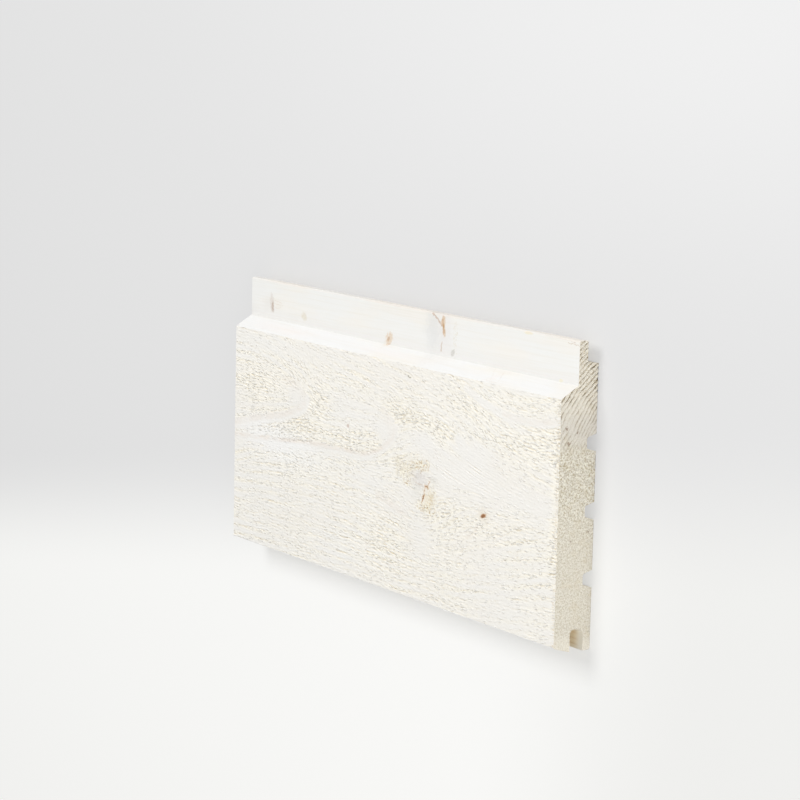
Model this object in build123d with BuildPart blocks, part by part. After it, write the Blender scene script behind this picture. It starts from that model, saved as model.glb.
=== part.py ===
from build123d import *
import os

os.makedirs("parts", exist_ok=True)

# The board lies flat on its back. X runs along the length, +Y points to the tongue edge,
# and Z runs from the back face (Z = 0) up to the front face. The origin is the middle of the back.

# Overall size of the machined plank.
board_length = 400
board_width = 195
board_thickness = 28

# Tongue along the upper edge, set back behind a smooth strip of the front.
tongue_height = 13.3
tongue_thickness = 6.5
tongue_easing = 0.9
strip_setback = 13.1
shoulder_fall = 1.0

# Part of the strip that stays in sight between two fitted boards, and the slope that leads up to it.
shadow_gap = 14.2
slope_width = 8.0

# Groove in the lower edge, which takes the tongue of the board below with room around it.
front_clearance = 0.8
back_clearance = 2.6
tip_clearance = 0.7
groove_rounding = 3.0

# Fall of the lower front lip towards the groove, so that rain drips clear of the joint.
lip_fall = 3.4

# Long edges taken off on the front face and on the lower back.
front_easing = 0.5
back_easing = 1.8

# Shallow relief grooves along the back, which keep a wide plank from cupping.
relief_count = 3
relief_middle = 88.2
relief_spacing = 43
relief_mouth = 11
relief_depth = 7.2
relief_side_angle = 74.5
relief_rounding = 1.8
relief_easing = 0.6

# Places across the width, from the lower edge to the tip of the tongue.
lower_edge = -board_width / 2
tongue_tip = board_width / 2
shoulder = tongue_tip - tongue_height
slope_top = shoulder - shadow_gap
slope_foot = slope_top - slope_width
lip_front = lower_edge + lip_fall
groove_depth = tongue_height + tip_clearance

# Levels through the thickness, from the front face down to the back.
strip_face = board_thickness - strip_setback
tongue_back = strip_face - tongue_thickness
groove_front = strip_face + front_clearance
groove_back = tongue_back - back_clearance
groove_width = groove_front - groove_back

# One relief groove, drawn with its mouth on the back face and its floor corners rounded.
with BuildSketch() as relief:
    Trapezoid(relief_mouth, relief_depth, relief_side_angle, align=(Align.CENTER, Align.MIN))
    fillet(relief.vertices().group_by(Axis.Y)[-1], relief_rounding)

# The whole board is one piece of softwood, planed to its section and cut square at both ends.
with BuildPart() as cladding_board:
    with BuildSketch(Plane.YZ) as section:
        with BuildLine():
            Polyline(
                (lower_edge, 0),
                (lower_edge, groove_front),
                (lip_front, board_thickness),
                (slope_foot, board_thickness),
                (slope_top, strip_face),
                (tongue_tip, strip_face),
                (tongue_tip, tongue_back),
                (shoulder, tongue_back),
                (shoulder - shoulder_fall, 0),
                close=True,
            )
        make_face()
        fillet(section.vertices().group_by(Axis.X)[-1], tongue_easing)
        fillet(section.vertices().group_by(Axis.Y)[-1], front_easing)
        # The tool that cuts the groove is rounded at its tip, and half of it passes outside the edge.
        with Locations((lower_edge, (groove_front + groove_back) / 2)):
            RectangleRounded(2 * groove_depth, groove_width, groove_rounding, mode=Mode.SUBTRACT)
        with Locations((lower_edge + relief_middle, 0)):
            with GridLocations(relief_spacing, 0, relief_count, 1):
                add(relief.sketch, mode=Mode.SUBTRACT)
        fillet(section.vertices().group_by(Axis.Y)[0].sort_by(Axis.X)[1:], relief_easing)
        fillet(section.vertices().group_by(Axis.Y)[0].sort_by(Axis.X)[0], back_easing)
    extrude(amount=board_length / 2, both=True)

cladding_board.part.label = "cladding_board"
export_step(cladding_board.part, "parts/cladding_board.step")
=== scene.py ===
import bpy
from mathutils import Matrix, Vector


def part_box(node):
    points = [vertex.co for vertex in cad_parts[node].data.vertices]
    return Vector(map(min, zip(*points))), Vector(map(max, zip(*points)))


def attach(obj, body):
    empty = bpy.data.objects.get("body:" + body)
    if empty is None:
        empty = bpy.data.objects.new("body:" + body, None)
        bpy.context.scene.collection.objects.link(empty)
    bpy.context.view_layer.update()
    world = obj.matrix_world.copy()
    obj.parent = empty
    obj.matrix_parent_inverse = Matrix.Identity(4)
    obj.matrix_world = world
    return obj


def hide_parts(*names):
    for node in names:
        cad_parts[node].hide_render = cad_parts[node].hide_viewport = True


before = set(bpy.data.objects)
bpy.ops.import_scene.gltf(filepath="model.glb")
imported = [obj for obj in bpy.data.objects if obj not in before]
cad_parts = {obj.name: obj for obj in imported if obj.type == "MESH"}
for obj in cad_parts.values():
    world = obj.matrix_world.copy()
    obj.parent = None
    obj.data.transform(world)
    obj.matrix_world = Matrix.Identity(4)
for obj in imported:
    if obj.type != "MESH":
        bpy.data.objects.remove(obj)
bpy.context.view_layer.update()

import math

import bpy
import numpy as np
from mathutils import Matrix, Vector
from mathutils.geometry import delaunay_2d_cdt

# The camera keeps the photograph's place and turn relative to the board. The board lies on its
# back, so the camera looks down on it from beyond its right-hand end, and is rolled until the
# tongue edge is up.
camera_place = Vector((1.52925, 0.30641, 1.01802))
camera_aim = Vector((0.02062, 0.03733, 0.028))
camera_top = Vector((-0.13549, 0.98882, -0.06229))
camera_lens = 123.21
camera_sensor = 36.0

camera = bpy.data.objects.new("camera", bpy.data.cameras.new("camera"))
camera.data.lens = camera_lens
camera.data.sensor_width = camera_sensor
camera.data.clip_start = 0.05
camera.data.clip_end = 20
away = (camera_place - camera_aim).normalized()
across = camera_top.cross(away).normalized()
turn = Matrix((across, away.cross(across), away)).transposed()
camera.matrix_world = Matrix.Translation(camera_place) @ turn.to_4x4()
bpy.context.collection.objects.link(camera)
bpy.context.scene.camera = camera
bpy.context.scene.view_settings.view_transform = "Standard"


def shade(red, green, blue):
    """A colour as it shows on screen, 0 to 255, turned into the renderer's linear values."""
    parts = [part / 255 for part in (red, green, blue)]
    linear = [part / 12.92 if part < 0.04045 else ((part + 0.055) / 1.055) ** 2.4 for part in parts]
    return (*linear, 1.0)


def add(tree, kind, feeds=None, **options):
    """Add a node with its options set, and feed its sockets with values or with other sockets."""
    made = tree.nodes.new(kind)
    for option, value in options.items():
        setattr(made, option, value)
    for socket, source in (feeds or {}).items():
        if isinstance(source, bpy.types.NodeSocket):
            tree.links.new(source, made.inputs[socket])
        else:
            made.inputs[socket].default_value = source
    return made


def grow(kind, feeds, **options):
    """Add a node to the tree of the first socket that feeds it."""
    sockets = [source for source in feeds.values() if isinstance(source, bpy.types.NodeSocket)]
    return add(sockets[0].id_data, kind, feeds, **options)


def maths(operation, first, second=0.5, third=None, clamp=False):
    """The result of one sum."""
    feeds = {0: first, 1: second}
    if third is not None:
        feeds[2] = third
    return grow("ShaderNodeMath", feeds, operation=operation, use_clamp=clamp).outputs[0]


def times(first, second):
    """Two values multiplied."""
    return maths("MULTIPLY", first, second)


def less(first, second):
    """One value with another taken from it."""
    return maths("SUBTRACT", first, second)


def scaled(value, factor, offset):
    """A value multiplied by a factor, with an offset added."""
    return maths("MULTIPLY_ADD", value, factor, offset)


def remap(value, start, end, low=0.0, high=1.0):
    """A value brought from one range to another and held there, with a smooth rise."""
    feeds = {"Value": value, "From Min": start, "From Max": end, "To Min": low, "To Max": high}
    made = grow("ShaderNodeMapRange", feeds, interpolation_type="SMOOTHSTEP")
    return made.outputs["Result"]


def axes(place):
    """A place's distances along each axis."""
    return grow("ShaderNodeSeparateXYZ", {0: place}).outputs


def mix(share, first, second):
    """Two colours mixed, each of them a socket or a tone as it shows on screen."""
    first, second = (shade(*tone) if isinstance(tone, tuple) else tone for tone in (first, second))
    return grow("ShaderNodeMix", {0: share, 6: first, 7: second}, data_type="RGBA").outputs[2]


# The studio: one large soft lamp above the tongue edge and a little to the left, an even pale
# surround, and a seamless pale floor that the board lies on.
surround_strength = 0.33
backdrop_tone = shade(222, 222, 222)
# Each lamp: name, direction to it, distance, size and power.
lamps = (
    ("key_lamp", (-0.11, 0.53, 0.83), 2.5, 1.1, 41.5),
    ("fill_lamp", (0.91, 0.03, 0.38), 2.0, 1.4, 14.0),
    ("bounce_lamp", (0.55, -0.80, 0.25), 2.0, 1.4, 7.0),
)
floor_size = 12.0
floor_own_light = 0.6
# Painted shade and shadow on the floor: its tone is darker far off, lighter far to the right, and
# darker on the near side to the right, where a painted shadow falls.
floor_near = (250, 250, 248)
floor_far = (227.5, 227.5, 227.5)
floor_far_right = (236, 236, 236)
floor_painted_shadow_right = (239, 239, 237)
floor_turn = 0.167
floor_bend = (-0.10, 0.01)
painted_shadow_right_span = (0.05, 0.33)
far_right_span = (-0.45, 0.35)
far_right_rise = (0.08, 0.3)

world = bpy.data.worlds.new("surround")
world.use_nodes = True
tree = world.node_tree
surround = tree.nodes["Background"]
surround.inputs["Color"].default_value = (1, 1, 1, 1)
surround.inputs["Strength"].default_value = surround_strength
backdrop = add(tree, "ShaderNodeBackground", {"Color": backdrop_tone, "Strength": 1.0})
seen = add(tree, "ShaderNodeLightPath").outputs["Is Camera Ray"]
both = grow("ShaderNodeMixShader", {0: seen, 1: surround.outputs[0], 2: backdrop.outputs[0]})
tree.links.new(both.outputs[0], tree.nodes["World Output"].inputs["Surface"])
bpy.context.scene.world = world

for lamp_name, direction, distance, size, power in lamps:
    direction = Vector(direction).normalized()
    lamp = bpy.data.objects.new(lamp_name, bpy.data.lights.new(lamp_name, "AREA"))
    lamp.data.size = size
    lamp.data.energy = power
    lamp.location = direction * distance
    lamp.rotation_mode = "QUATERNION"
    lamp.rotation_quaternion = direction.to_track_quat("Z", "Y")
    bpy.context.collection.objects.link(lamp)

half_floor = floor_size / 2
floor_mesh = bpy.data.meshes.new("floor")
floor_mesh.from_pydata(
    [(x * half_floor, y * half_floor, 0) for x, y in ((-1, -1), (1, -1), (1, 1), (-1, 1))],
    [],
    [(0, 1, 2, 3)],
)
floor = bpy.data.objects.new("floor", floor_mesh)
bpy.context.collection.objects.link(floor)
floor_paint = bpy.data.materials.new("floor_paint")
floor_paint.use_nodes = True
tree = floor_paint.node_tree
matt = tree.nodes["Principled BSDF"]
matt.inputs["Roughness"].default_value = 0.9
matt.inputs["Specular IOR Level"].default_value = 0.1
spot = axes(add(tree, "ShaderNodeTexCoord").outputs["Object"])
beyond = scaled(spot["X"], -floor_turn, spot["Y"])
painted_shadow_right = remap(spot["X"], *painted_shadow_right_span)
far_right = remap(spot["X"], *far_right_span)
far_right = remap(spot["Y"], *far_right_rise, 0.0, far_right)
# Painted shadow: the near floor darkens to the right. Painted shade: the floor darkens far off,
# less so far to the right.
tone = mix(painted_shadow_right, floor_near, floor_painted_shadow_right)
tone = mix(remap(beyond, *floor_bend), tone, floor_far)
tone = mix(far_right, tone, floor_far_right)
tree.links.new(tone, matt.inputs["Base Color"])
glow = add(tree, "ShaderNodeEmission", {"Color": tone, "Strength": 1.0})
seen = times(add(tree, "ShaderNodeLightPath").outputs["Is Camera Ray"], floor_own_light)
both = grow("ShaderNodeMixShader", {0: seen, 1: matt.outputs[0], 2: glow.outputs[0]})
tree.links.new(both.outputs[0], tree.nodes["Material Output"].inputs["Surface"])
floor_mesh.materials.append(floor_paint)

# The board's section: a length of softwood run through a moulder, which planes the tongue, the
# strip in front of it, the slope, the groove and three relief grooves. The corners are the CAD's.
mm = 0.001
low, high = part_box("cladding_board")
board_length = high.x - low.x
board_thickness = high.z - low.z
lower_edge, tongue_tip = low.y, high.y
tongue_height = 13.3 * mm
tongue_thickness = 6.5 * mm
tongue_easing = 0.9 * mm
strip_setback = 13.1 * mm
shoulder_fall = 1.0 * mm
shadow_gap = 14.2 * mm
slope_width = 8.0 * mm
front_clearance = 0.8 * mm
back_clearance = 2.6 * mm
tip_clearance = 0.7 * mm
groove_rounding = 3.0 * mm
lip_fall = 3.4 * mm
front_easing = 0.5 * mm
back_easing = 1.8 * mm
relief_count = 3
relief_middle = 88.2 * mm
relief_spacing = 43 * mm
relief_mouth = 11 * mm
relief_depth = 7.2 * mm
relief_side_angle = math.radians(74.5)
relief_rounding = 1.8 * mm
relief_easing = 0.6 * mm

shoulder = tongue_tip - tongue_height
slope_top = shoulder - shadow_gap
slope_foot = slope_top - slope_width
groove_root = lower_edge + tongue_height + tip_clearance
lip_front = lower_edge + lip_fall
strip_face = board_thickness - strip_setback
tongue_back = strip_face - tongue_thickness
groove_front = strip_face + front_clearance
groove_back = tongue_back - back_clearance
relief_floor = relief_mouth - 2 * relief_depth / math.tan(relief_side_angle)

SAWN, PRIMED, BARE, END = range(4)
fine_step = 0.55 * mm
plain_step = 4.0 * mm
bend_step = 0.5 * mm
edge_margin = 0.15 * plain_step
tiny = 1e-9

# Each corner: across, up, its rounding, and the finish of the run that follows it.
corners = [(lower_edge, 0, back_easing, BARE)]
for place in range(relief_count):
    centre = lower_edge + relief_middle + (place - (relief_count - 1) / 2) * relief_spacing
    corners += [
        (centre - relief_mouth / 2, 0, relief_easing, BARE),
        (centre - relief_floor / 2, relief_depth, relief_rounding, BARE),
        (centre + relief_floor / 2, relief_depth, relief_rounding, BARE),
        (centre + relief_mouth / 2, 0, relief_easing, BARE),
    ]
corners += [
    (shoulder - shoulder_fall, 0, relief_easing, BARE),
    (shoulder, tongue_back, 0, BARE),
    (tongue_tip, tongue_back, tongue_easing, PRIMED),
    (tongue_tip, strip_face, tongue_easing, PRIMED),
    (slope_top, strip_face, 0, PRIMED),
    (slope_foot, board_thickness, front_easing, SAWN),
    (lip_front, board_thickness, front_easing, PRIMED),
    (lower_edge, groove_front, 0, BARE),
    (groove_root, groove_front, groove_rounding, BARE),
    (groove_root, groove_back, groove_rounding, BARE),
    (lower_edge, groove_back, 0, BARE),
]


def rounded(before, corner, after, radius):
    """The points of a corner, from where the rounding leaves one run to where it meets the next."""
    corner = np.array(corner)
    if radius == 0:
        return [corner]
    back = np.array(before) - corner
    on = np.array(after) - corner
    back, on = back / np.linalg.norm(back), on / np.linalg.norm(on)
    half = math.acos(np.clip(back @ on, -1, 1)) / 2
    reach = radius / math.tan(half)
    middle = corner + (back + on) / np.linalg.norm(back + on) * radius / math.sin(half)
    first, last = corner + back * reach - middle, corner + on * reach - middle
    turn = math.pi - 2 * half
    count = max(2, round(turn * radius / bend_step))
    shares = np.arange(count + 1)[:, None] / count
    bow = first * np.sin(turn * (1 - shares)) + last * np.sin(turn * shares)
    return list(middle + bow / math.sin(turn))


stations, finishes, dense = [], [], []
for k, (y, z, radius, finish) in enumerate(corners):
    before, after = corners[k - 1], corners[(k + 1) % len(corners)]
    beyond = corners[(k + 2) % len(corners)]
    bend = rounded(before[:2], (y, z), after[:2], radius)
    run_end = rounded((y, z), after[:2], beyond[:2], after[2])[0]
    length = np.linalg.norm(run_end - bend[-1])
    step = fine_step if finish == SAWN else plain_step
    count = max(1, round(length / step))
    if finish != SAWN and length > 2 * plain_step:
        margin = edge_margin / length
        shares = np.array([0, margin, *np.arange(1, count) / count, 1 - margin])
    else:
        shares = np.arange(count) / count
    run = [bend[-1] + (run_end - bend[-1]) * share for share in shares]
    stations += bend[:-1] + run
    finishes += [finish] * (len(bend) - 1 + len(run))
    on_top = abs(z - board_thickness) < tiny
    dense += [on_top] * (len(bend) - 1)
    dense += [on_top and (finish == SAWN or i == 0) for i in range(len(run))]
stations = np.array(stations)

# The front face is cut by a fine band saw, which tears the soft early wood into short fibres and
# leaves the hard late wood smooth. All its places are in millimetres from the left end and from the
# lower edge. The grain is read off the face: at each place, the degrees it climbs to the right.
fibre_turns = [
    (10, 150, 0), (60, 145, -12), (85, 135, -22), (97, 129, -38), (20, 125, -5), (40, 119, 0),
    (60, 125, -9), (10, 105, 8), (40, 105, 12), (70, 112, 15), (87, 119, 24), (110, 125, -22),
    (114, 117, -26), (126, 121, 0), (121, 109, 2), (135, 117, 3), (150, 116, 5), (156, 100, 0),
    (176, 109, 3), (186, 106, 10), (160, 130, -5), (150, 145, -8), (190, 145, -10),
    (200, 131, -15), (207, 125, -20), (216, 132, -20), (216, 120, 14), (221, 112, 25),
    (233, 118, 15), (246, 125, 3), (262, 122, -10), (275, 118, -20), (285, 112, -24),
    (250, 135, -5), (270, 132, -12), (290, 125, -20), (300, 118, -22), (230, 146, -5),
    (260, 145, -8), (290, 145, -15), (310, 140, -25), (325, 130, -22), (341, 128, -10),
    (355, 118, -15), (380, 115, -8), (330, 155, -15), (350, 150, -8), (370, 148, 0),
    (385, 150, 8), (395, 154, 15), (350, 137, -12), (375, 133, 0), (393, 138, 12), (395, 130, 5),
    (395, 120, 0), (20, 83, 8), (60, 92, 12), (90, 95, 10), (110, 98, 5), (130, 97, 0),
    (150, 97, 2), (180, 95, 8), (200, 97, 24), (206, 103, 28), (30, 75, 6), (80, 80, 3),
    (120, 84, 2), (160, 84, 0), (195, 88, 10), (205, 81, 2), (216, 86, 8), (226, 92, 25),
    (228, 106, 20), (240, 98, 8), (254, 105, -22), (267, 101, -24), (281, 105, -13),
    (275, 97, -12), (290, 100, -15), (300, 97, -17), (320, 92, -10), (345, 100, -17),
    (370, 95, -13), (392, 95, -5), (350, 88, -5), (390, 88, -1), (340, 112, -15), (390, 109, -9),
    (190, 70, -3), (215, 70, -8), (230, 65, -14), (236, 75, -12), (205, 60, -9), (225, 55, -9),
    (240, 54, -6), (251, 50, 3), (262, 54, 24), (275, 64, 27), (290, 68, 21), (280, 76, 14),
    (300, 80, 12), (340, 78, 5), (380, 80, 6), (300, 60, 19), (330, 60, 15), (370, 62, 14),
    (300, 50, 12), (350, 46, 13), (384, 50, 13), (280, 40, 5), (320, 38, 10), (370, 35, 13),
    (12, 68, 16), (20, 50, 6), (60, 50, 4), (100, 50, 3), (140, 50, 0), (180, 50, -3),
    (206, 45, -4), (10, 30, 3), (50, 30, 2), (100, 30, 2), (150, 30, -1), (200, 30, -2),
    (240, 32, 0), (20, 10, 2), (60, 10, 2), (150, 10, 0), (250, 10, 3), (330, 15, 9),
    (390, 15, 10), (265, 85, 0),
]
turn_reach = 6.0
turn_stretch = 1.4

cell = 0.4
grid_x = np.arange(-2, board_length / mm + 2 + cell, cell)
grid_y = np.arange(-2, (slope_foot - lower_edge) / mm + 2 + cell, cell)
along, above = np.meshgrid(grid_x, grid_y)
frequency = np.hypot(
    np.fft.fftfreq(len(grid_y), cell)[:, None], np.fft.fftfreq(len(grid_x), cell)[None]
)


def hump(x, y, wide, tall):
    """1 at a place on the face, falling smoothly to 0 about one width and one height away."""
    return np.exp(-(((along - x) / wide) ** 2 + ((above - y) / tall) ** 2))


climb, weight = np.zeros(along.shape), np.zeros(along.shape)
for x, y, degrees in fibre_turns:
    share = 1 / (((along - x) / turn_stretch) ** 2 + (above - y) ** 2 + turn_reach**2) ** 2
    climb, weight = climb + share * degrees, weight + share
climb = np.radians(climb / weight)
fibre_x, fibre_y = np.cos(climb), np.sin(climb)

small_knot = (320.5, 73.5)
pin_knot = (156, 108)


def read(field, x, y):
    """Value of a field of the face between its cells."""
    column = np.clip((x - grid_x[0]) / cell, 0, len(grid_x) - 1.001)
    row = np.clip((y - grid_y[0]) / cell, 0, len(grid_y) - 1.001)
    c, r = column.astype(int), row.astype(int)
    fc, fr = column - c, row - r
    return (
        field[r, c] * (1 - fc) * (1 - fr) + field[r, c + 1] * fc * (1 - fr)
        + field[r + 1, c] * (1 - fc) * fr + field[r + 1, c + 1] * fc * fr
    )


def sift(field, kept):
    """A field of the face with only a share of each of its frequencies kept."""
    return np.fft.ifft2(np.fft.fft2(field) * kept).real


def soften(field, radius):
    """Blur a field by a radius in millimetres."""
    return sift(field, np.exp(-2 * (math.pi * radius * frequency) ** 2))


chance = np.random.default_rng(41)
spacing_spread = 0.36


def fibres(spacing, reach):
    """Random ridges of about one spacing along the fibre direction, of mean 0 and spread 1."""
    kept = np.exp(-(((frequency * spacing - 1) / spacing_spread) ** 2))
    seeds = sift(chance.normal(size=along.shape), kept)
    total = seeds.copy()
    stride = max(cell, spacing / 6)
    for sense in (-1, 1):
        x, y = along.copy(), above.copy()
        for _ in range(round(reach / stride)):
            step_x, step_y = read(fibre_x, x, y), read(fibre_y, x, y)
            x, y = x + sense * stride * step_x, y + sense * stride * step_y
            total += read(seeds, x, y)
    total -= total.mean()
    return total / total.std()


def between(value, start, end):
    """0 below start and 1 above end, with a smooth rise."""
    share = np.clip((value - start) / (end - start), 0, 1)
    return share * share * (3 - 2 * share)


def gash(start, end, width):
    """1 along a crack between two places on the face, falling to 0 beyond its width."""
    run_x, run_y = end[0] - start[0], end[1] - start[1]
    share = ((along - start[0]) * run_x + (above - start[1]) * run_y) / (run_x**2 + run_y**2)
    share = np.clip(share, 0, 1)
    away = np.hypot(along - start[0] - share * run_x, above - start[1] - share * run_y)
    return 1 - between(away, 0.3 * width, width)


def lines_mask(lines, widening):
    """The strength of a set of lines, each falling to 0 beyond its widened half width."""
    mask = np.zeros(along.shape)
    for half_width, strength, line in lines:
        for start, end in zip(line, line[1:]):
            mask = np.maximum(mask, strength * gash(start, end, widening * half_width))
    return mask


crumbs = fibres(2.0, 1.0)
ripples = fibres(2.3, 2.0)
long_ripples = fibres(2.4, 6.0)
fine_lines = fibres(2.0, 14.0)
rows_of_rings = fibres(6.5, 26.0)
broad = soften(chance.normal(size=along.shape), 12)
broad = broad / broad.std()

# Hard late wood stays smooth along some rings: half width, strength, points.
smooth_lines = [
    (3.4, 0.8, [
        (-5, 86), (12, 89.5), (33, 94.5), (65, 101), (81, 105.5), (92, 109.5), (99, 114),
        (101, 119),
    ]),
    (2.8, 0.6, [
        (-5, 78), (27, 80), (54, 80), (92, 84.5), (120, 87.5), (141, 88.5), (174, 88.5), (190, 93),
        (203, 99),
    ]),
    (3.6, 0.7, [(203, 101), (211, 107), (215, 113), (209, 119)]),
    (3.0, 0.6, [(298, 153), (318, 146), (340, 141.5), (360, 140.5), (380, 141.5), (400, 146)]),
    (4.0, 0.6, [(290, 118), (305, 110), (322, 103)]),
]
band = lines_mask(smooth_lines, 1.4)

# Thin beige lines where the hard wood of a ring comes to the surface: half width, strength, points.
stain_lines = [
    (1.9, 0.6, [
        (-5, 88), (12, 91.5), (33, 96.4), (65, 102.9), (81, 107.3), (92, 111.6), (98, 115),
    ]),
    (2.6, 0.35, [(70, 129), (82, 127.5), (94, 124), (99, 120)]),
    (1.3, 1.0, [
        (-5, 79.5), (27, 81.5), (65, 85), (100, 88.2), (140, 90.5), (175, 91.5), (190, 95.3),
        (203, 101.3),
    ]),
    (1.7, 0.6, [(203, 101.3), (211, 107), (215, 113)]),
    (4.0, 0.35, [(200, 124), (208, 118), (211, 113)]),
    (1.4, 0.5, [(340, 142), (360, 141), (380, 142), (396, 145)]),
    (2.0, 0.5, [(195, 66), (212, 63), (232, 58)]),
    (1.0, 0.6, [(302, 56), (311, 61), (314, 66)]),
]
stain = lines_mask(stain_lines, 1.8)

# Places that the saw left rougher or smoother: spot, half width, half height, strength.
rough_places = [
    (22, 122, 40, 14, 0.34), (62, 94, 40, 7, 0.34), (100, 100, 24, 6, 0.3),
    (118, 118, 14, 10, 0.4), (178, 106, 22, 5, 0.25), (212, 126, 16, 9, 0.4),
    (240, 124, 24, 7, 0.4), (272, 120, 16, 7, 0.4), (226, 94, 14, 7, 0.2),
    (350, 124, 45, 8, 0.22), (345, 152, 55, 6, 0.2), (385, 132, 20, 7, 0.25),
    (397, 122, 5, 40, 0.4), (285, 67, 25, 9, 0.2), (322, 63, 20, 9, 0.2), (365, 68, 40, 12, 0.22),
    (205, 34, 46, 22, 0.2), (40, 72, 60, 7, 0.1), (397, 70, 6, 30, 0.3), (300, 140, 30, 6, 0.25),
    (195, 96, 10, 5, 0.4), (150, 98, 30, 5, 0.25), (253, 68, 11, 5, 0.1), (118, 66, 60, 12, 0.1),
]
smooth_places = [
    (315, 111, 18, 8, 0.85), (300, 97, 36, 10, 0.8), (370, 92, 40, 8, 0.65),
    (250, 112, 14, 6, 0.65), (248, 48, 14, 14, 0.55), (88, 119, 12, 8, 0.8),
    (205, 113, 13, 10, 0.8), (165, 120, 34, 11, 0.5), (190, 74, 36, 5, 0.35),
    (217, 61, 18, 4, 0.6), (100, 152, 110, 6, 0.45), (248, 84, 8, 7, 0.7), (275, 86, 12, 7, 0.65),
    (235, 73, 12, 7, 0.6), (260, 76, 8, 9, 0.7),
]
mean_tear, broad_share, ring_share, least_tear = 0.40, 0.05, 0.09, 0.03
tear = mean_tear + broad_share * broad + ring_share * rows_of_rings
for x, y, wide, tall, amount in rough_places:
    tear = tear + amount * hump(x, y, wide, tall)
for x, y, wide, tall, amount in smooth_places:
    tear = tear * (1 - amount * hump(x, y, wide, tall))
tear = np.clip(tear * (1 - band), least_tear, 1.0)


# Single fibres: how many are torn out, how far the others lift, their lips, bends and room.
torn_share, lifted_depth, deepest_stroke = 0.4, 1.1, 1.5
lip_offset, lip_depth = 1.7, 0.45
bend_depth, bend_turn = 0.3, 1.5
room_along, room_climb, room_across = 2, 0.6, 1.5


def strokes(count, shortest, longest, half_width, slant):
    """Single fibres along the grain, torn out where above 0 and lifted below, at random places."""
    total = np.zeros(along.shape)
    spots = chance.uniform((0, 0), (board_length / mm, (slope_foot - lower_edge) / mm), (count, 2))
    draws = zip(
        spots, chance.uniform(shortest, longest, count) / 2, chance.normal(0, slant, count),
        chance.uniform(0.35, 1, count), chance.uniform(0, 2 * math.pi, count),
        chance.uniform(0, 1, count),
    )
    for (x, y), half_length, lean, depth, start, lot in draws:
        lean = lean + read(climb, np.array(x), np.array(y))
        reach = half_length + room_along
        tall = room_climb * reach + room_across
        left, right = np.searchsorted(grid_x, (x - reach, x + reach))
        below, top = np.searchsorted(grid_y, (y - tall, y + tall))
        dx, dy = along[below:top, left:right] - x, above[below:top, left:right] - y
        forward = dx * math.cos(lean) + dy * math.sin(lean)
        bend = bend_depth * np.sin(bend_turn * forward + start)
        aside = dy * math.cos(lean) - dx * math.sin(lean) + bend
        ends = (forward / half_length) ** 2
        body = np.exp(-((aside / half_width) ** 2)) * np.clip(1.2 - ends, 0, 1)
        lip = np.exp(-(((aside + lip_offset * half_width) / half_width) ** 2))
        lip = lip * np.clip(1 - ends, 0, 1)
        sense = 1 if lot < torn_share else -lifted_depth
        total[below:top, left:right] += sense * depth * (body - lip_depth * lip)
    return deepest_stroke * np.tanh(total / deepest_stroke)


# Torn and lifted fibres everywhere, gentle ripples along the grain, longer low down, and fine
# straight lines in the fan to the right of the main knot.
fan = np.clip(hump(335, 97, 60, 9) + hump(296, 97, 26, 11), 0, 1)
low_down = between(above, 85, 55)
torn = strokes(6500, 2.6, 6.4, 0.42, 0.1) + 0.7 * strokes(1100, 7.0, 14.0, 0.5, 0.05)
crumb_share, ripple_share, long_least, long_share = 0.8, 1.0, 0.05, 0.7
towards_left = between(along, 330, 180)
surface = crumbs * crumb_share + ripples * ripple_share
surface = surface + long_ripples * (long_least + long_share * low_down * towards_left)
surface = surface / surface.std()
base_depth, ripple_depth, stroke_depth, fan_depth = 0.42, 0.25, 0.27, 0.2
ripple_least, stroke_least, deepest = 0.02, 0.03, 1.4
sink = base_depth * tear - (ripple_least + ripple_depth * tear) * surface * (1 - fan)
sink = sink + (stroke_least + stroke_depth * tear) * torn * (1 - 0.8 * fan)
sink = sink + fan_depth * fan * (1 - 0.7 * fine_lines)
# Splits in the main knot: from, to, width, strength.
knot_cracks = [
    ((253.2, 81.7), (256.0, 81.4), 0.9, 0.7), ((256.0, 82.4), (258.2, 85.6), 0.5, 0.5),
    ((252.8, 80), (251.6, 75.4), 0.5, 0.4), ((251.6, 75.0), (249.8, 71.2), 0.65, 0.8),
    ((241, 82.4), (251, 81.8), 0.25, 0.2),
]
small_knot_fall = 0.06
hollow_reach = 2.2
sink = np.clip(sink + small_knot_fall * hump(*small_knot, 3.0, 1.2), 0, deepest)
hollow = sink - soften(sink, hollow_reach)

# The shell of the board: rows along its length, close on the sawn face and wide apart elsewhere.
close_columns = 264
column_ratio = 4
columns = np.linspace(low.x, high.x, close_columns + 1)
vertices, rows = [], []
for (y, z), is_dense in zip(stations, dense):
    row_x = columns if is_dense else columns[::column_ratio]
    rows.append(list(range(len(vertices), len(vertices) + len(row_x))))
    vertices += [(x, y, z) for x in row_x]

faces, face_finish = [], []
for k, row in enumerate(rows):
    following = rows[(k + 1) % len(rows)]
    count = min(len(row), len(following)) - 1
    here, there = (len(row) - 1) // count, (len(following) - 1) // count
    faces += [
        (row[i * here], *following[i * there:(i + 1) * there + 1], *row[(i + 1) * here:i * here:-1])
        for i in range(count)
    ]
    face_finish += [finishes[k]] * count

# Both ends are cut square. Each is filled with its own net of small triangles, closer on the right.
right_net, left_net = 0.82 * mm, 1.5 * mm
net_row_gap, net_margin = 0.87, 0.55
pith_y, pith_z = -9.5, -67
ring_gap = 2.6
ring_waves = ((0.35, 0.11, 0.17, 0.6), (0.25, 0.31, -0.23, 0.0))
ring_swell, swell_y, swell_z, swell_reach = 2.0, 41, 14, 12


def ring_radius(y, z):
    """Distance from the pith of the log in millimetres, with the rings' own wander."""
    y, z = np.asarray(y) / mm, np.asarray(z) / mm
    radius = np.hypot(y - pith_y, z - pith_z)
    for size, turn_y, turn_z, start in ring_waves:
        radius = radius + size * np.sin(turn_y * y + turn_z * z + start)
    swell = ((y - swell_y) / swell_reach) ** 2 + ((z - swell_z) / swell_reach) ** 2
    return radius + ring_swell * np.exp(-swell)


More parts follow.
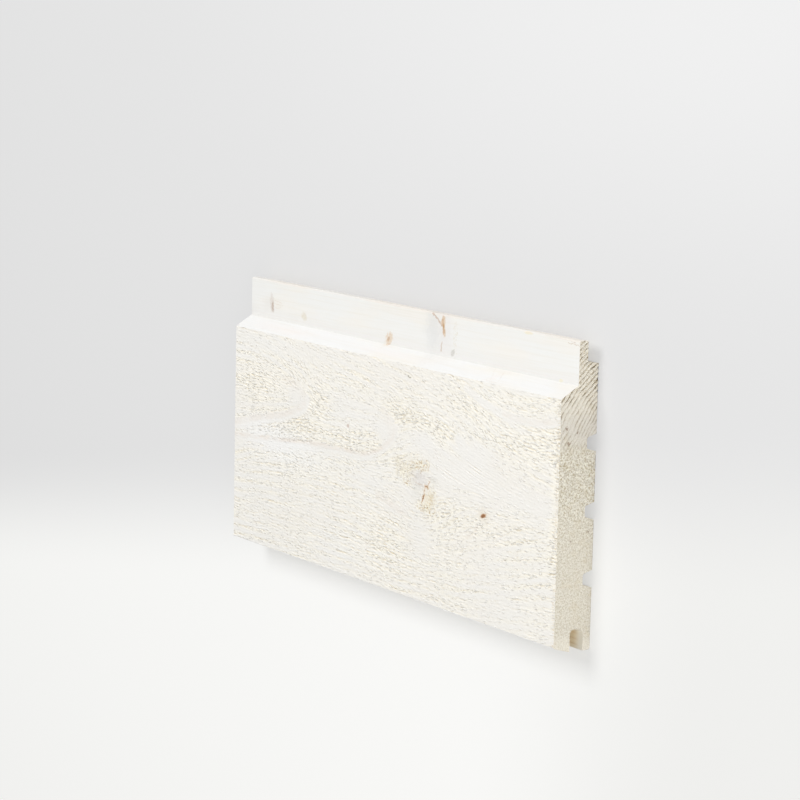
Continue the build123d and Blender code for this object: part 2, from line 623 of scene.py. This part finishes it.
# Wear of the ends, in bands up from the lower edge: the rise of the ridges, the crumbly middle and
# the firm band above it with their reach, and the rise of the crumbly top.
ridge_rise, crumbly_rise = (122, 168), (148, 172)
crumbly_middle, crumbly_reach, firm_middle, firm_reach = 112, 15, 140, 8
ridge_depth, ridge_least, ridge_growth = 0.8, 0.12, 0.8
crumb_depth, crumb_least, crumb_growth, crumb_top, firmness = 1.3, 0.10, 0.24, 0.16, 0.7


def end_wear(net, lots):
    """How far an end is worn back at its points. Early wood is crushed between the hard lines."""
    height = (net[:, 0] - lower_edge) / mm
    trough = 0.5 + 0.5 * np.cos(2 * math.pi * ring_radius(*net.T) / ring_gap)
    ridged = ridge_least + ridge_growth * between(height, *ridge_rise)
    middle = np.exp(-(((height - crumbly_middle) / crumbly_reach) ** 2))
    crumbly = crumb_least + crumb_growth * middle + crumb_top * between(height, *crumbly_rise)
    crumbly = crumbly * (1 - firmness * np.exp(-(((height - firm_middle) / firm_reach) ** 2)))
    return (ridge_depth * ridged * trough**2 + crumb_depth * crumbly * lots) * mm


def inside(point_y, point_z):
    """Whether points lie inside the board's section."""
    result = np.zeros(point_y.shape, bool)
    for (ay, az), (by, bz) in zip(stations, np.roll(stations, -1, 0)):
        crosses = (az > point_z) != (bz > point_z)
        with np.errstate(divide="ignore", invalid="ignore"):
            at = ay + (point_z - az) * (by - ay) / (bz - az)
        result ^= crosses & (point_y < at)
    return result


for end_x, is_right, net_step in ((low.x, False, left_net), (high.x, True, right_net)):
    net_y, net_z = np.meshgrid(
        np.arange(lower_edge, tongue_tip, net_step),
        np.arange(0, board_thickness, net_step * net_row_gap),
    )
    net_y = net_y + (np.arange(net_y.shape[0])[:, None] % 2) * net_step / 2
    net_y, net_z = net_y.ravel(), net_z.ravel()
    gap = np.sqrt(((np.c_[net_y, net_z][:, None] - stations[None]) ** 2).sum(-1)).min(1)
    kept = inside(net_y, net_z) & (gap > net_margin * net_step)
    net = np.c_[net_y, net_z][kept]
    flat = [Vector(spot) for spot in (*stations, *net)]
    _, _, triangles, _, _, _ = delaunay_2d_cdt(flat, [], [list(range(len(stations)))], 1, tiny)
    wear_and_shade = end_wear(net, chance.uniform(0, 1, len(net)))
    rim = [row[-1] if is_right else row[0] for row in rows]
    first = len(vertices)
    vertices += [(end_x - (cut if is_right else -cut), y, z) for cut, (y, z) in zip(wear_and_shade, net)]
    for triangle in triangles:
        ring = [rim[i] if i < len(stations) else first + i - len(stations) for i in triangle]
        spots = [flat[i] for i in triangle]
        turns_left = (spots[1] - spots[0]).cross(spots[2] - spots[0]) > 0
        faces.append(ring if turns_left == is_right else ring[::-1])
        face_finish.append(END)

board_mesh = bpy.data.meshes.new("board")
board_mesh.from_pydata(vertices, [], faces)
board_mesh.attributes.new("finish", "INT", "FACE").data.foreach_set("value", face_finish)
places = np.array(vertices)
face_x = (places[:, 0] - low.x) / mm
face_y = (places[:, 1] - lower_edge) / mm
near_top = 0.2 * mm
on_front = places[:, 2] > board_thickness - near_top
on_front = on_front & (places[:, 1] < slope_foot + front_easing)


def store(name, values):
    """Keep a value for each point of the board, for its relief and its finishes."""
    kept = board_mesh.attributes.new(name, "FLOAT", "POINT")
    kept.data.foreach_set("value", values.astype(np.float32))


for name, field in (("sink", sink), ("hollow", hollow), ("tear", tear), ("stain", stain)):
    store(name, read(field, face_x, face_y) * on_front)
store("climb", read(climb, face_x, face_y))
store("radius", ring_radius(places[:, 1], places[:, 2]))
board = bpy.data.objects.new("cladding_board_wood", board_mesh)
bpy.context.collection.objects.link(board)

# The finishes: one thin coat of off-white primer over the machined wood. It covers the smooth wood
# and leaves the torn wood and the end grain showing through, with painted shade in their hollows
# and painted highlights on their crests. These helpers make their masks.


def tint(colour, mask, strength, tone):
    """A colour brought towards a tone where a mask is high."""
    return mix(times(mask, strength), colour, tone)


def larger(first, second):
    """The larger of two values, or the second where there is no first one yet."""
    return second if first is None else maths("MAXIMUM", first, second)


def mix_value(share, first, second):
    """Two values mixed."""
    return grow("ShaderNodeMix", {0: share, 2: first, 3: second}, data_type="FLOAT").outputs[0]


def noise(place, scale, detail, roughness=0.5):
    """A random value that changes smoothly over a place, at one scale or one for each axis."""
    if isinstance(scale, tuple):
        place, scale = stretch(place, scale), 1.0
    feeds = {"Vector": place, "Scale": scale, "Detail": detail, "Roughness": roughness}
    return grow("ShaderNodeTexNoise", feeds).outputs["Fac"]


def vector_sum(operation, first, second):
    """The vector that comes of one sum on two vectors."""
    made = grow("ShaderNodeVectorMath", {0: first, 1: second}, operation=operation)
    return made.outputs["Vector"]


def vector_value(operation, first, second):
    """The number that comes of one sum on two vectors."""
    made = grow("ShaderNodeVectorMath", {0: first, 1: second}, operation=operation)
    return made.outputs["Value"]


def stretch(place, scale):
    """A place with each of its directions scaled."""
    return vector_sum("MULTIPLY", place, scale)


def spin(place, angle):
    """A place turned about the board's upright."""
    feeds = {"Vector": place, "Angle": angle}
    return grow("ShaderNodeVectorRotate", feeds, rotation_type="Z_AXIS").outputs[0]


def in_millimetres(tree):
    """The place on the board in millimetres."""
    here = add(tree, "ShaderNodeTexCoord").outputs["Object"]
    return stretch(here, (1000, 1000, 1000))


def attribute(tree, name):
    """A value kept at the board's points."""
    made = add(tree, "ShaderNodeAttribute", attribute_name=name, attribute_type="GEOMETRY")
    return made.outputs["Fac"]


def new_finish(name):
    """An empty material with its surface shader."""
    finish = bpy.data.materials.new(name)
    finish.use_nodes = True
    return finish, finish.node_tree, finish.node_tree.nodes["Principled BSDF"]


def new_group(name, places, values, gives):
    """An empty node group: the places and the values that feed it, and the values that it gives."""
    group = bpy.data.node_groups.new(name, "ShaderNodeTree")
    for side, kind, sockets in (
        ("INPUT", "Vector", places), ("INPUT", "Float", values), ("OUTPUT", "Float", gives)
    ):
        for socket in sockets:
            group.interface.new_socket(socket, in_out=side, socket_type="NodeSocket" + kind)
    group_in, group_out = group.nodes.new("NodeGroupInput"), group.nodes.new("NodeGroupOutput")
    return group, group_in.outputs, group_out.inputs


# Growth rings through the whole plank: the pith of the log runs behind the back of the board.
pith = (0, pith_y, pith_z)
rings, ring_in, ring_out = new_group("growth_rings", ["Place"], ["Width"], ["Phase"])
offset = vector_sum("SUBTRACT", ring_in["Place"], pith)
split = axes(offset)
drift = scaled(split["X"], -0.03, split["Z"])
radius = maths("ADD", maths("POWER", split["Y"], 2), maths("POWER", drift, 2))
radius = maths("SQRT", radius)
wander = noise(ring_in["Place"], (0.008, 0.05, 0.05), 2.0)
radius = scaled(wander, 5.0, radius)
phase = maths("FRACT", maths("DIVIDE", radius, ring_in["Width"]))
rings.links.new(phase, ring_out["Phase"])

# A knot or stain: an uneven oval with a heart, and the reach outwards from its middle.
knot, knot_in, knot_out = new_group(
    "knot", ["Place", "Centre", "Radii"], ["Turn", "Ragged"], ["Heart", "Reach"]
)
moved = vector_sum("SUBTRACT", knot_in["Place"], knot_in["Centre"])
turned = spin(moved, knot_in["Turn"])
sized = vector_sum("DIVIDE", turned, knot_in["Radii"])
reach = grow("ShaderNodeVectorMath", {0: sized}, operation="LENGTH").outputs["Value"]
ragged = less(noise(knot_in["Place"], 0.35, 4.0, 0.6), 0.5)
reach = scaled(ragged, knot_in["Ragged"], reach)
knot.links.new(remap(reach, 1.0, 0.45), knot_out["Heart"])
knot.links.new(reach, knot_out["Reach"])

# A crack: a narrow split from one point to another, wandering a little.
crack, crack_in, crack_out = new_group("crack", ["Place", "From", "To"], ["Width"], ["Split"])
feeds = {"Vector": crack_in["Place"], "Scale": 0.45, "Detail": 3.0}
jitter = grow("ShaderNodeTexNoise", feeds).outputs["Color"]
jitter = vector_sum("SUBTRACT", jitter, (0.5, 0.5, 0.5))
jitter = vector_sum("MULTIPLY", jitter, (3.4, 3.4, 0))
wandered = vector_sum("ADD", crack_in["Place"], jitter)
run = vector_sum("SUBTRACT", crack_in["To"], crack_in["From"])
start = vector_sum("SUBTRACT", wandered, crack_in["From"])
length = vector_value("DOT_PRODUCT", run, run)
share = maths("DIVIDE", vector_value("DOT_PRODUCT", start, run), length, clamp=True)
nearest = grow("ShaderNodeVectorMath", {0: run, "Scale": share}, operation="SCALE").outputs[0]
side = vector_value("DISTANCE", start, nearest)
crack.links.new(remap(maths("DIVIDE", side, crack_in["Width"]), 1.0, 0.3), crack_out["Split"])


def on_face(x, y):
    """A spot on the front, from the left end and the lower edge, in the board's own millimetres."""
    return (x + low.x / mm, y + lower_edge / mm, 0)


# Knots reach right through the thickness.
through = 1e4


def put_knot(place, at, wide, tall, turn, ragged):
    """A knot's masks at a spot on the front."""
    feeds = {"Place": place, "Centre": on_face(*at), "Turn": turn, "Ragged": ragged}
    feeds["Radii"] = (wide, tall, through)
    return grow("ShaderNodeGroup", feeds, node_tree=knot).outputs


def put_crack(place, start, end, width):
    """A crack's mask between two spots on the front."""
    feeds = {"Place": stretch(place, (1, 1, 0)), "Width": width}
    feeds["From"], feeds["To"] = on_face(*start), on_face(*end)
    return grow("ShaderNodeGroup", feeds, node_tree=crack).outputs["Split"]


def put_rings(place, width):
    """How far a place lies from one growth ring to the next, 0 to 1."""
    feeds = {"Place": place, "Width": width}
    return grow("ShaderNodeGroup", feeds, node_tree=rings).outputs["Phase"]


# Tones that several finishes share.
paint_white = (243, 241, 236)
paint_cream = (243, 238, 229)
wood_beige = (214, 200, 170)
olive_wood_and_shade = (196, 170, 108)

# Torn fibres: short flakes along the grain, one to a cell, lifted by the saw. Each has bare wood
# just below it, with painted shade there. There are more of them where the amount is high.
torn_fibres, torn_in, torn_out = new_group(
    "torn_fibres", ["Place"], ["Turn", "Length", "Pitch", "Amount"], ["Flake", "Bare And Shade"]
)
turn_back = times(torn_in["Turn"], -1.0)
turned = spin(torn_in["Place"], turn_back)
wobble = less(noise(turned, (0.35, 0.6, 0.6), 2.0, 0.6), 0.5)
parts = axes(turned)
aside = scaled(wobble, 2.4, parts["Y"])
column = maths("DIVIDE", parts["X"], torn_in["Length"])
row = maths("DIVIDE", aside, torn_in["Pitch"])
cell_place = grow("ShaderNodeCombineXYZ", {0: column, 1: row}).outputs[0]
feeds = {"Vector": cell_place, "Scale": 1.0, "Randomness": 1.0}
cells = grow("ShaderNodeTexVoronoi", feeds, voronoi_dimensions="2D")
offset = axes(vector_sum("SUBTRACT", cell_place, cells.outputs["Position"]))
lot = grow("ShaderNodeSeparateColor", {0: cells.outputs["Color"]}).outputs
forward = maths("DIVIDE", offset["X"], scaled(lot["Red"], 0.28, 0.2))
aside = times(offset["Y"], torn_in["Pitch"])
half_width = scaled(lot["Green"], 0.25, 0.5)
chosen = less(scaled(torn_in["Amount"], 1.2, 0.2), lot["Blue"])
taper = times(remap(maths("ABSOLUTE", forward), 1.0, 0.5), remap(chosen, 0.0, 0.35))
flake = remap(maths("DIVIDE", maths("ABSOLUTE", aside), half_width), 1.0, 0.25)
torn_fibres.links.new(times(flake, taper), torn_out["Flake"])
below = maths("DIVIDE", maths("ADD", aside, 0.75), half_width)
bare_and_shaded_strip = remap(maths("ABSOLUTE", below), 1.1, 0.2)
torn_fibres.links.new(times(bare_and_shaded_strip, taper), torn_out["Bare And Shade"])


def put_fibres(place, turn, length, pitch, amount):
    """The flakes, and the bare wood with painted shade below them, of the torn fibres that lie at
    one turn.
    """
    feeds = {"Place": place, "Turn": turn, "Length": length, "Pitch": pitch, "Amount": amount}
    return grow("ShaderNodeGroup", feeds, node_tree=torn_fibres).outputs


def coat(shader, colour, roughness, height, strength, distance, shine):
    """Join a finish's colour, roughness and fine relief to its shader."""
    feeds = {"Height": height, "Strength": strength, "Distance": distance}
    bump = grow("ShaderNodeBump", feeds)
    colour.id_data.links.new(colour, shader.inputs["Base Color"])
    colour.id_data.links.new(roughness, shader.inputs["Roughness"])
    colour.id_data.links.new(bump.outputs["Normal"], shader.inputs["Normal"])
    shader.inputs["Specular IOR Level"].default_value = shine


# Finish of the sawn face: one thin coat of off-white primer, thinner in the torn wood, with painted
# shade and highlights in its relief.
sawn, tree, shader = new_finish("sawn_primed_wood")
here = in_millimetres(tree)
hollow_value, tear_value = attribute(tree, "hollow"), attribute(tree, "tear")
grit = noise(here, (0.36, 1.05, 1.05), 3.0, 0.65)
swerve = noise(here, (0.1, 0.16, 0.16), 2.0, 0.5)
turn_here = scaled(less(swerve, 0.5), 0.5, attribute(tree, "climb"))
turn_step = math.radians(11)
flake_length, flake_pitch, turn_blend = 5.4, 1.6, 0.03
flakes, bared_and_shaded = None, None
for step in range(-2, 3):
    laid = put_fibres(here, step * turn_step, flake_length, flake_pitch, tear_value)
    if flakes is None:
        flakes, bared_and_shaded = laid["Flake"], laid["Bare And Shade"]
        continue
    edge = (step - 0.5) * turn_step
    share = remap(turn_here, edge - turn_blend, edge + turn_blend)
    flakes = mix_value(share, flakes, laid["Flake"])
    bared_and_shaded = mix_value(share, bared_and_shaded, laid["Bare And Shade"])
patchy = noise(here, (0.09, 0.3, 0.3), 3.0, 0.6)
cloud = noise(here, (0.012, 0.025, 0.02), 3.0)
colour = mix(remap(cloud, 0.35, 0.7, 0.0, 0.4), paint_white, paint_cream)
colour = mix(remap(tear_value, 0.15, 0.8, 0.0, 0.75), colour, (255, 250, 236))
# Painted highlight: the crests, where the relief stands above its surroundings, and the lifted
# flakes are painted whiter.
colour = mix(remap(hollow_value, -0.02, -0.2, 0.0, 0.4), colour, (253, 252, 249))
colour = tint(colour, flakes, 0.5, (254, 253, 249))
pale_band = remap(put_knot(here, (60, 83), 90, 22, 0.08, 0.5)["Reach"], 1.0, 0.2)
colour = tint(colour, pale_band, 0.6, (249, 249, 248))
# The hollows and the strips under the flakes go olive: partly bare wood, partly painted shade.
wear_and_shade = remap(hollow_value, 0.03, 0.42, 0.0, 0.32)
wear_and_shade = maths("MAXIMUM", wear_and_shade, times(bared_and_shaded, scaled(tear_value, 0.25, 0.03)))
colour = mix(wear_and_shade, colour, olive_wood_and_shade)
patchy = remap(patchy, 0.36, 0.64, 0.12, 0.36)
colour = tint(colour, attribute(tree, "stain"), patchy, (230, 213, 196))
colour = tint(colour, remap(grit, 0.52, 0.75), times(tear_value, 0.3), wood_beige)

# The torn right arris shows bare, yellowish wood in places.
crumb = noise(here, 0.62, 2.0, 0.6)
frayed = remap(axes(here)["X"], 395.5 + low.x / mm, 398.5 + low.x / mm)
frayed = times(times(frayed, remap(grit, 0.45, 0.6)), remap(crumb, 0.4, 0.62))
colour = tint(colour, frayed, 0.4, (214, 184, 128))

# The main knot: loose brown crumbs above and to the left, a smooth greyish heart, a tan foot.
crumb_spots = remap(crumb, 0.5, 0.62)
for at, wide, tall, turn, strength, stain_tone in (
    ((229, 89.5), 19, 8.5, 0.3, 0.22, (238, 226, 198)),
    ((247, 95), 14, 6, 0.0, 0.22, (238, 226, 198)),
    ((257, 73), 9.5, 11, -0.2, 0.42, (236, 220, 184)),
    ((246, 86), 15, 8, 0.0, 0.44, (214, 208, 204)),
    ((243, 77), 9, 9, 0.0, 0.3, (218, 216, 208)),
    ((263, 87.3), 5, 4, 0.0, 0.3, (206, 204, 198)),
):
    patch = remap(put_knot(here, at, wide, tall, turn, 1.6)["Reach"], 1.1, 0.1)
    patch = times(patch, remap(crumb, 0.3, 0.6, 0.6, 1.3))
    colour = tint(colour, patch, strength, stain_tone)
crust = None
for at, wide, tall, turn, strength, crumb_tone in (
    ((226, 88.5), 16, 8, 0.4, 0.22, (218, 198, 152)),
    ((240, 95), 13, 6, 0.0, 0.34, (214, 190, 140)),
    ((250, 94.5), 11, 5, -0.2, 0.6, (206, 174, 118)),
    ((254, 67), 13, 5.0, 0.15, 0.55, (208, 178, 116)),
    ((261, 76), 7, 11, 0.0, 0.34, (220, 198, 150)),
    ((229.5, 81), 6, 2.6, 0.0, 0.7, (214, 178, 116)),
):
    heart = put_knot(here, at, wide, tall, turn, 1.8)["Heart"]
    patch = times(heart, crumb_spots)
    crust = larger(crust, patch)
    colour = tint(colour, patch, strength, crumb_tone)
    # Painted highlight: the crumbs of the knot get bright cream spots.
    painted_crumb_highlight = times(heart, remap(crumb, 0.48, 0.36))
    colour = tint(colour, painted_crumb_highlight, 0.7, (254, 248, 226))
splits = None
for start, end, width, strength in knot_cracks:
    around = put_crack(here, start, end, 2.2 * width)
    colour = tint(colour, around, 0.7 * strength, (214, 168, 108))
    one = times(put_crack(here, start, end, width), strength)
    colour = tint(colour, one, remap(grit, 0.35, 0.6, 0.4, 1.0), (136, 84, 46))
    splits = larger(splits, one)
small = put_knot(here, small_knot, 4.3, 1.7, -0.3, 1.2)
small_halo = put_knot(here, small_knot, 9, 6, 0.1, 2.0)
colour = tint(colour, small_halo["Heart"], 0.3, (228, 216, 192))
colour = tint(colour, small["Heart"], 0.85, (196, 144, 92))
colour = tint(colour, remap(small["Reach"], 0.7, 0.3), 0.8, (134, 88, 54))
pin = put_knot(here, pin_knot, 2.2, 1.8, 0.0, 0.5)
colour = tint(colour, pin["Heart"], 0.6, (196, 170, 158))
smudge = put_knot(here, (25.7, 102.5), 4.0, 2.4, 0.0, 0.8)
colour = tint(colour, smudge["Heart"], 0.3, (190, 188, 182))
speck = put_crack(here, (229.5, 152.5), (233, 151), 0.7)
colour = tint(colour, speck, 0.6, (150, 140, 118))
# Heights in millimetres: fine grit, the knot's crust, cracks and the small knot's hole.
relief_height = times(grit, scaled(tear_value, 0.3, 0.24))
lift = times(flakes, scaled(tear_value, 0.56, 0.07))
relief_height = maths("ADD", relief_height, lift)
relief_height = scaled(crust, -0.2, relief_height)
relief_height = less(relief_height, times(splits, 0.2))
relief_height = less(relief_height, times(small["Heart"], 0.08))
roughness = remap(hollow_value, -0.1, 0.4, 0.62, 0.8)
coat(shader, colour, roughness, relief_height, 1.0, mm, 0.3)

# Finish of the planed front: the slope, the strip and the tongue, smooth under the same primer.
planed, tree, shader = new_finish("planed_primed_wood")
here = in_millimetres(tree)
ring = put_rings(here, 3.1)
grain = noise(here, (0.02, 0.9, 0.9), 3.0, 0.55)
cloud = noise(here, (0.012, 0.05, 0.05), 3.0)
parts = axes(here)
on_slope = remap(parts["Z"], strip_face / mm + 0.1, strip_face / mm + 0.6)
colour = mix(on_slope, (240, 240, 237), (242, 242, 241))
colour = mix(remap(cloud, 0.42, 0.66, 0.0, 0.6), colour, (243, 239, 231))
# Painted shade: the strip is darkened where it meets the foot of the slope.
painted_shade_at_foot = times(remap(parts["Y"], slope_top / mm + 12, slope_top / mm), less(1.0, on_slope))
colour = mix(painted_shade_at_foot, colour, (234, 233, 230))
colour = tint(colour, remap(grain, 0.45, 0.7), 0.07, wood_beige)
colour = tint(colour, remap(ring, 0.6, 0.98), 0.035, wood_beige)
# A big pale knot crosses the strip, with brown splits in it and a dotted edge.
crumb = noise(here, 0.8, 3.0, 0.65)
crumb_spots = remap(crumb, 0.44, 0.6)
for at, wide, tall, turn, strength, patch_tone in (
    ((239, 184), 14, 26, 0.0, 0.55, (221, 221, 220)),
    ((253, 183), 14, 24, 0.0, 0.45, (230, 226, 225)),
    ((22, 178), 9, 8, 0.0, 0.35, (226, 224, 220)),
    ((37, 178), 11, 6, 0.3, 0.2, (234, 228, 212)),
    ((60, 163), 60, 4, 0.0, 0.22, (246, 232, 224)),
    ((200, 163), 70, 3, 0.0, 0.18, (246, 234, 226)),
    ((322, 163.5), 9, 3.4, -0.5, 0.12, (244, 226, 214)),
):
    patch = remap(put_knot(here, at, wide, tall, turn, 1.0)["Reach"], 1.0, 0.1)
    colour = tint(colour, patch, strength, patch_tone)
for at, wide, tall, turn, strength, ragged, mark_tone in (
    ((29.0, 179), 4.2, 9.0, -0.1, 0.5, 1.0, (210, 200, 192)),
    ((30.0, 176.5), 2.2, 5.2, -0.1, 0.55, 0.9, (166, 134, 108)),
    ((74, 174), 5.0, 4.0, 0.5, 0.5, 1.2, (216, 206, 180)),
    ((185.5, 171.2), 7.0, 4.4, -0.7, 0.65, 1.5, (216, 184, 144)),
    ((184.8, 171), 2.6, 1.4, -0.9, 0.5, 0.8, (176, 130, 86)),
    ((262.5, 171), 3.6, 2.4, -0.8, 0.6, 1.0, (186, 182, 174)),
    ((346, 193.8), 6, 1.2, 0.0, 0.45, 1.0, (240, 222, 172)),
    ((382, 168.2), 2.6, 1.2, 0.0, 0.5, 0.8, (238, 226, 170)),
    ((250.6, 190), 3.4, 5.0, 0.2, 0.7, 1.1, (210, 170, 116)),
    ((251.6, 184), 2.4, 5.0, -0.2, 0.75, 1.1, (204, 162, 108)),
):
    mark = put_knot(here, at, wide, tall, turn, ragged)["Heart"]
    mark = times(mark, remap(crumb, 0.35, 0.6, 0.55, 1.0))
    colour = tint(colour, mark, strength, mark_tone)
strip_cracks = [
    ((238, 194.5), (249.5, 187.5), 0.9, 0.5), ((250, 192), (251.5, 183), 0.7, 0.5),
    ((249.2, 176), (248.6, 170), 0.7, 0.4), ((388, 192.6), (400, 191.8), 0.3, 0.5),
    ((391, 194), (396, 193), 0.25, 0.3), ((313, 167), (322, 160), 0.4, 0.06),
    ((324, 166), (330, 160.5), 0.35, 0.1), ((313, 160.6), (330, 160.4), 0.3, 0.1),
    ((33, 181), (43, 180), 0.3, 0.16), ((33, 178.6), (45, 178), 0.3, 0.16),
    ((34, 175.8), (42, 176.6), 0.3, 0.14),
]
splits = None
for start, end, width, strength in strip_cracks:
    one = times(put_crack(here, start, end, width), strength)
    splits = larger(splits, one)
dotted = remap(put_knot(here, (265, 182), 3.4, 15, 0.0, 1.5)["Reach"], 1.0, 0.4)
dotted = times(dotted, remap(crumb, 0.5, 0.64))
colour = tint(colour, dotted, 0.45, (206, 190, 152))
colour = mix(splits, colour, (176, 130, 84))
# The upper arris of the tongue is rubbed back to pinkish wood.
rubbed = times(remap(parts["Y"], tongue_tip / mm - 1.6, tongue_tip / mm - 0.4),
    remap(cloud, 0.35, 0.6, 0.5, 1.0),
)
colour = tint(colour, rubbed, 0.24, (240, 222, 206))
height = less(times(grain, 0.4), splits)
roughness = remap(grain, 0.3, 0.7, 0.5, 0.62)
coat(shader, colour, roughness, height, 0.4, 0.2 * mm, 0.35)

# Finish of the back and the grooves: planed softwood with only a mist of primer.
bare, tree, shader = new_finish("thinly_primed_back")
here = in_millimetres(tree)
ring = put_rings(here, 3.1)
grain = noise(here, (0.02, 0.9, 0.9), 4.0, 0.6)
cloud = noise(here, (0.01, 0.04, 0.04), 3.0)
colour = mix(remap(cloud, 0.3, 0.7), (238, 228, 206), (228, 212, 180))
colour = tint(colour, remap(ring, 0.55, 0.98), 0.4, (202, 172, 124))
colour = tint(colour, remap(grain, 0.5, 0.75), 0.3, (206, 180, 138))
# Painted light: the back and the grooves are painted paler over the last 10 mm at the right end,
# where light comes in at the open end.
painted_light_x = axes(here)["X"]
colour = mix(remap(painted_light_x, high.x / mm - 10, high.x / mm - 2), colour, (252, 248, 236))
roughness = remap(grain, 0.3, 0.7, 0.55, 0.7)
coat(shader, colour, roughness, grain, 0.4, 0.2 * mm, 0.3)

# Finish of the ends: cross-cut end grain, which drinks the primer and shows its rings as ridges.
# Painted shade darkens the valleys and crumbled pits, and painted highlights whiten the crumbled
# crests.
end, tree, shader = new_finish("primed_end_grain")
here = in_millimetres(tree)
level = axes(here)["Y"]
phase = maths("DIVIDE", attribute(tree, "radius"), ring_gap)
ragged = noise(here, 0.5, 3.0, 0.6)
phase = maths("FRACT", scaled(ragged, 0.7, less(phase, 0.35)))
upper = remap(level, 26, 70)
speckle = noise(here, 0.95, 3.0, 0.7)
loose = noise(here, 0.85, 3.0, 0.65)
pores = noise(here, 2.4, 2.0, 0.6)
patches = noise(here, 0.12, 3.0, 0.6)
valley = remap(maths("ABSOLUTE", less(phase, 0.5)), 0.32, 0.5)
valley = times(valley, larger(upper, remap(level, 25, 33, 0.12, 0.7)))
valley = times(valley, remap(speckle, 0.3, 0.6, 0.35, 1.0))
valley = times(valley, remap(patches, 0.36, 0.6, 0.35, 1.0))
colour = mix(remap(speckle, 0.4, 0.62), (234, 229, 218), (210, 203, 185))
colour = tint(colour, upper, 0.75, (248, 242, 228))
grey_zone = times(remap(level, 29, 37), remap(level, 56, 46))
colour = tint(colour, grey_zone, 0.5, (228, 223, 214))
broken = times(remap(level, -50, 10, 0.3, 1.0), remap(level, 42, 22))
broken = larger(broken, times(remap(level, 56, 72), 0.7))
# Painted highlight on the crumbled crests and painted shade in the crumbled pits, over the wood's
# own colour.
colour = tint(colour, broken, remap(loose, 0.53, 0.38, 0.0, 0.95), (255, 251, 236))
colour = tint(colour, broken, remap(loose, 0.52, 0.64, 0.0, 0.7), (176, 156, 106))
colour = mix(remap(level, -84, -94, 0.0, 0.5), colour, (246, 240, 226))
colour = tint(colour, remap(patches, 0.5, 0.72), 0.25, (214, 200, 168))
# The ring valleys are darkened: the wood's own grain colour, and partly painted shade in the
# hollows.
colour = tint(colour, valley, remap(level, 50, 75, 0.76, 1.0), (154, 128, 86))
colour = tint(colour, remap(pores, 0.62, 0.75), 0.5, (178, 156, 116))
for (depth_in, height_up), size in (
    ((5.2, 141), 1.1), ((13.3, 138), 0.6), ((6.8, 131.6), 1.3), ((10.5, 70), 0.7), ((24, 75), 0.9),
):
    middle = (high.x / mm, height_up + lower_edge / mm, board_thickness / mm - depth_in)
    spot = vector_value("DISTANCE", here, middle)
    spot = scaled(speckle, 7.0, less(spot, 3.5))
    colour = tint(colour, remap(spot, size, 0.4 * size), 0.7, (130, 96, 66))
height = scaled(speckle, 1.1, times(valley, -1.2))
height = less(height, times(broken, times(loose, 1.6)))
roughness = remap(pores, 0.3, 0.7, 0.7, 0.9)
coat(shader, colour, roughness, height, 1.0, 0.5 * mm, 0.2)

# The saw's relief: torn wood sinks below the smooth late wood, more where the fibres are loose.
tear_depth = 1.0 * mm
relief = bpy.data.node_groups.new("sawn_relief", "GeometryNodeTree")
relief.interface.new_socket("Board", in_out="INPUT", socket_type="NodeSocketGeometry")
depth_socket = relief.interface.new_socket(
    "Tear Depth", in_out="INPUT", socket_type="NodeSocketFloat"
)
relief.interface.new_socket("Board", in_out="OUTPUT", socket_type="NodeSocketGeometry")
relief_in, relief_out = relief.nodes.new("NodeGroupInput"), relief.nodes.new("NodeGroupOutput")
sink_read = add(relief, "GeometryNodeInputNamedAttribute", {"Name": "sink"}, data_type="FLOAT")
fall = times(sink_read.outputs["Attribute"], relief_in.outputs["Tear Depth"])
lowered = grow("ShaderNodeCombineXYZ", {2: times(fall, -1.0)}).outputs[0]
feeds = {"Geometry": relief_in.outputs["Board"], "Offset": lowered}
moved = grow("GeometryNodeSetPosition", feeds)
shaped = grow("GeometryNodeRealizeInstances", {"Geometry": moved.outputs[0]}).outputs[0]
finish_read = add(relief, "GeometryNodeInputNamedAttribute", {"Name": "finish"}, data_type="INT")
for number, finish in ((SAWN, sawn), (PRIMED, planed), (BARE, bare), (END, end)):
    feeds = {2: finish_read.outputs["Attribute"], 3: number}
    chosen = grow("FunctionNodeCompare", feeds, data_type="INT", operation="EQUAL").outputs[0]
    feeds = {"Geometry": shaped, "Selection": chosen, "Material": finish}
    shaped = grow("GeometryNodeSetMaterial", feeds).outputs[0]
relief.links.new(shaped, relief_out.inputs["Board"])
modifier = board.modifiers.new("sawn_relief", "NODES")
modifier.node_group = relief
modifier[depth_socket.identifier] = tear_depth
solid = bpy.data.meshes.new_from_object(board.evaluated_get(bpy.context.evaluated_depsgraph_get()))
board.modifiers.clear()
board.data = solid
solid.name = "board"
solid.polygons.foreach_set("use_smooth", [True] * len(solid.polygons))
solid.set_sharp_from_angle(angle=math.radians(30))

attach(board, "root")
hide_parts("cladding_board")
